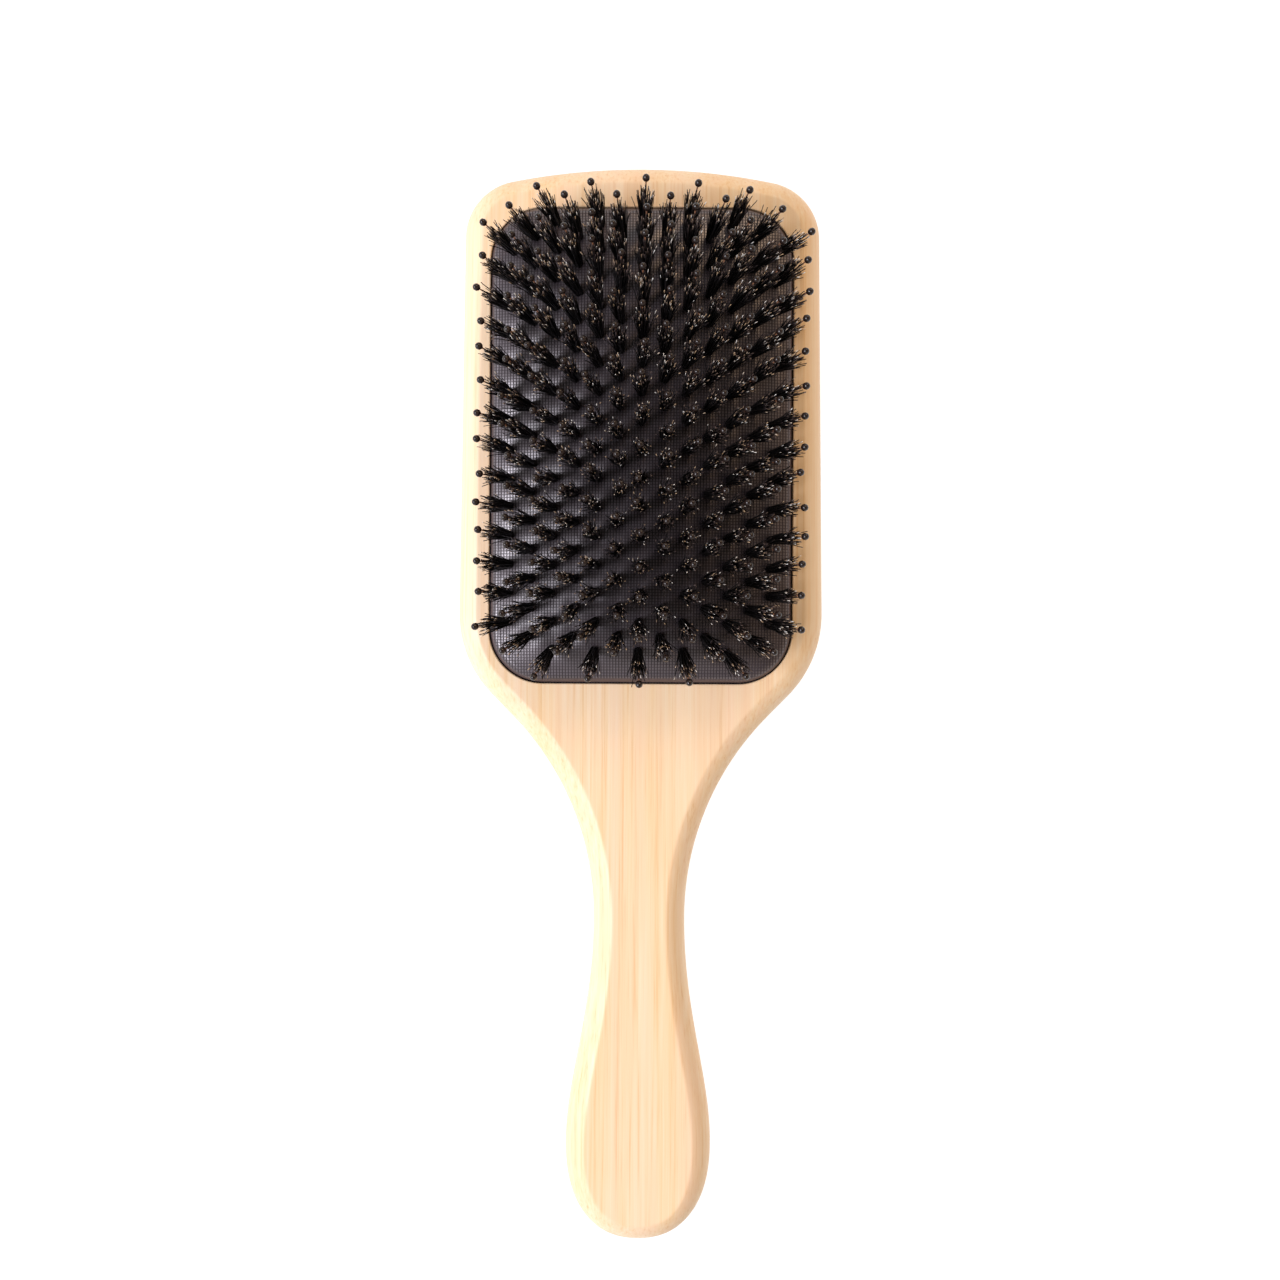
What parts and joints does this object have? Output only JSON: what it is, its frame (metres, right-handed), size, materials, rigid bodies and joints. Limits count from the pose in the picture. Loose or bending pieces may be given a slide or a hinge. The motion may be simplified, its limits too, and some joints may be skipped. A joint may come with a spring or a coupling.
{
  "type": "paddle hairbrush",
  "caption": "Bamboo paddle hairbrush with a domed rubber air cushion that carries boar tufts and ball-tipped pins; the cushion gives when pressed.",
  "frame": {"origin": "under the middle of the brush, on the surface that its flat back lies on", "axes": "+Z out of the bristle face, +Y from the handle's end to the paddle's crown, +X across"},
  "size_m": [0.085, 0.25, 0.0397],
  "materials": {
    "bamboo": "sanded and oiled, satin, fine straight grain",
    "rubber": "matt black with a fine woven emboss",
    "bristle": "natural boar hair, near black with brown tips, soft sheen",
    "nylon": "smooth dark nylon with glossy ball tips"
  },
  "bodies": {
    "handle": {"bamboo_paddle": "bamboo", "cushion_rim": "rubber", "cushion_skirt": "rubber"},
    "bristle_bed": {"cushion_dome": "rubber", "tuft_row_01": "bristle", "tuft_row_02": "bristle", "tuft_row_03": "bristle", "tuft_row_04": "bristle", "tuft_row_05": "bristle", "tuft_row_06": "bristle", "tuft_row_07": "bristle", "tuft_row_08": "bristle", "tuft_row_09": "bristle", "tuft_row_10": "bristle", "tuft_row_11": "bristle", "tuft_row_12": "bristle", "tuft_row_13": "bristle", "pin_row_01": "nylon", "pin_row_02": "nylon", "pin_row_03": "nylon", "pin_row_04": "nylon", "pin_row_05": "nylon", "pin_row_06": "nylon", "pin_row_07": "nylon", "pin_row_08": "nylon", "pin_row_09": "nylon", "pin_row_10": "nylon", "pin_row_11": "nylon", "pin_row_12": "nylon", "pin_row_13": "nylon"}
  },
  "joints": [
    {"name": "cushion_press", "type": "slide", "parent": "handle", "child": "bristle_bed", "axis": [0, 0, -1], "range_m": [0, 0.003], "stiffness_N_per_m": 2500, "deforming": ["cushion_skirt"]}
  ]
}
